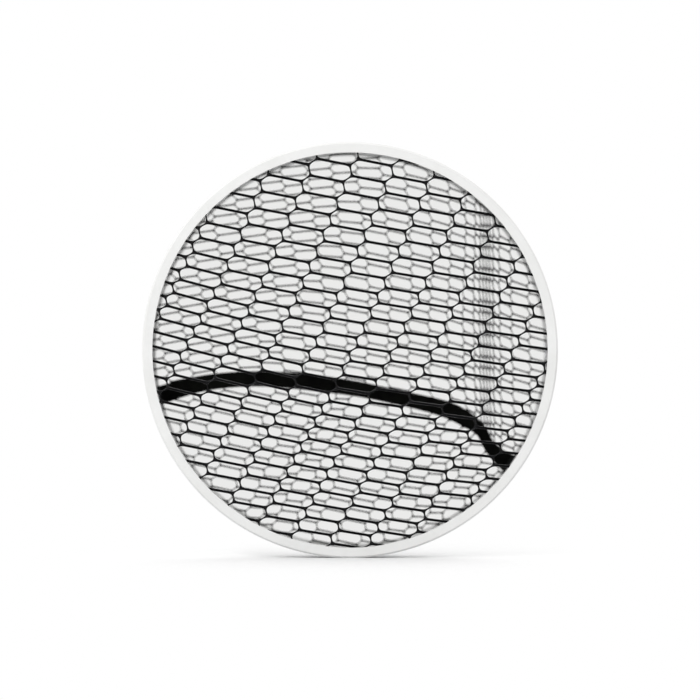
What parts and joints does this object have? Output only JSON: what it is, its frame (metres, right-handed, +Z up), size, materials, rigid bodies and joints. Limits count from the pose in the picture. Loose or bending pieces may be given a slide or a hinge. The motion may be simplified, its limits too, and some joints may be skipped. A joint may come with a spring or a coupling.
{
  "type": "round honeycomb grid",
  "caption": "Round light-control grid: a hinged front frame with a net of long hexagons over a body with a finer net and a seam strap, held in a reflector by turn clips.",
  "frame": {"origin": "on the grid's optical axis, in the plane where the stop flange rests on the reflector's rim", "axes": "+Y along the optical axis into the reflector, so the front net faces -Y; +Z up; hinge on the -X side, latch on the +X side"},
  "size_m": [0.17, 0.0199, 0.17],
  "materials": {
    "white_frame": "satin white powder coat",
    "steel": "satin",
    "gasket": "matt",
    "front_net": "glossy black coating",
    "rear_net": "black coating",
    "strap": "flat woven tape",
    "clamp": "satin black"
  },
  "bodies": {
    "body": {"body_ring": "white_frame", "seat_gasket": "gasket", "net_carrier": "white_frame", "snap_ring": "steel", "rear_net_upper": "rear_net", "rear_net_lower": "rear_net", "seam_strap": "strap", "strap_plates": "clamp", "strap_rivets": "clamp", "hinge_leaf": "steel", "hinge_rivets": "steel", "hinge_pin": "steel", "latch_pin": "steel", "clip_washers": "steel", "clip_pins": "steel"},
    "front_frame": {"front_ring": "white_frame", "front_net": "front_net", "hinge_knuckle": "steel", "latch_striker": "steel", "striker_rivet": "steel"},
    "latch": {"latch_slider": "steel"},
    "clip_1": {"turn_clip_1": "steel"},
    "clip_2": {"turn_clip_2": "steel"},
    "clip_3": {"turn_clip_3": "steel"}
  },
  "joints": [
    {"name": "front_hinge", "type": "hinge", "parent": "body", "child": "front_frame", "pos_m": [-0.083, -0.0026, 0], "axis": [0, 0, -1], "range_deg": [0, 110]},
    {"name": "latch_slide", "type": "slide", "parent": "body", "child": "latch", "axis": [0, 0, 1], "range_m": [0, 0.005]},
    {"name": "clip_turn_1", "type": "hinge", "parent": "body", "child": "clip_1", "pos_m": [0.07067, 0.014, 0.0408], "axis": [0, -1, 0], "range_deg": [0, 90]},
    {"name": "clip_turn_2", "type": "hinge", "parent": "body", "child": "clip_2", "pos_m": [-0.07067, 0.014, 0.0408], "axis": [0, -1, 0], "range_deg": [0, 90]},
    {"name": "clip_turn_3", "type": "hinge", "parent": "body", "child": "clip_3", "pos_m": [0, 0.014, -0.0816], "axis": [0, -1, 0], "range_deg": [0, 90]}
  ]
}
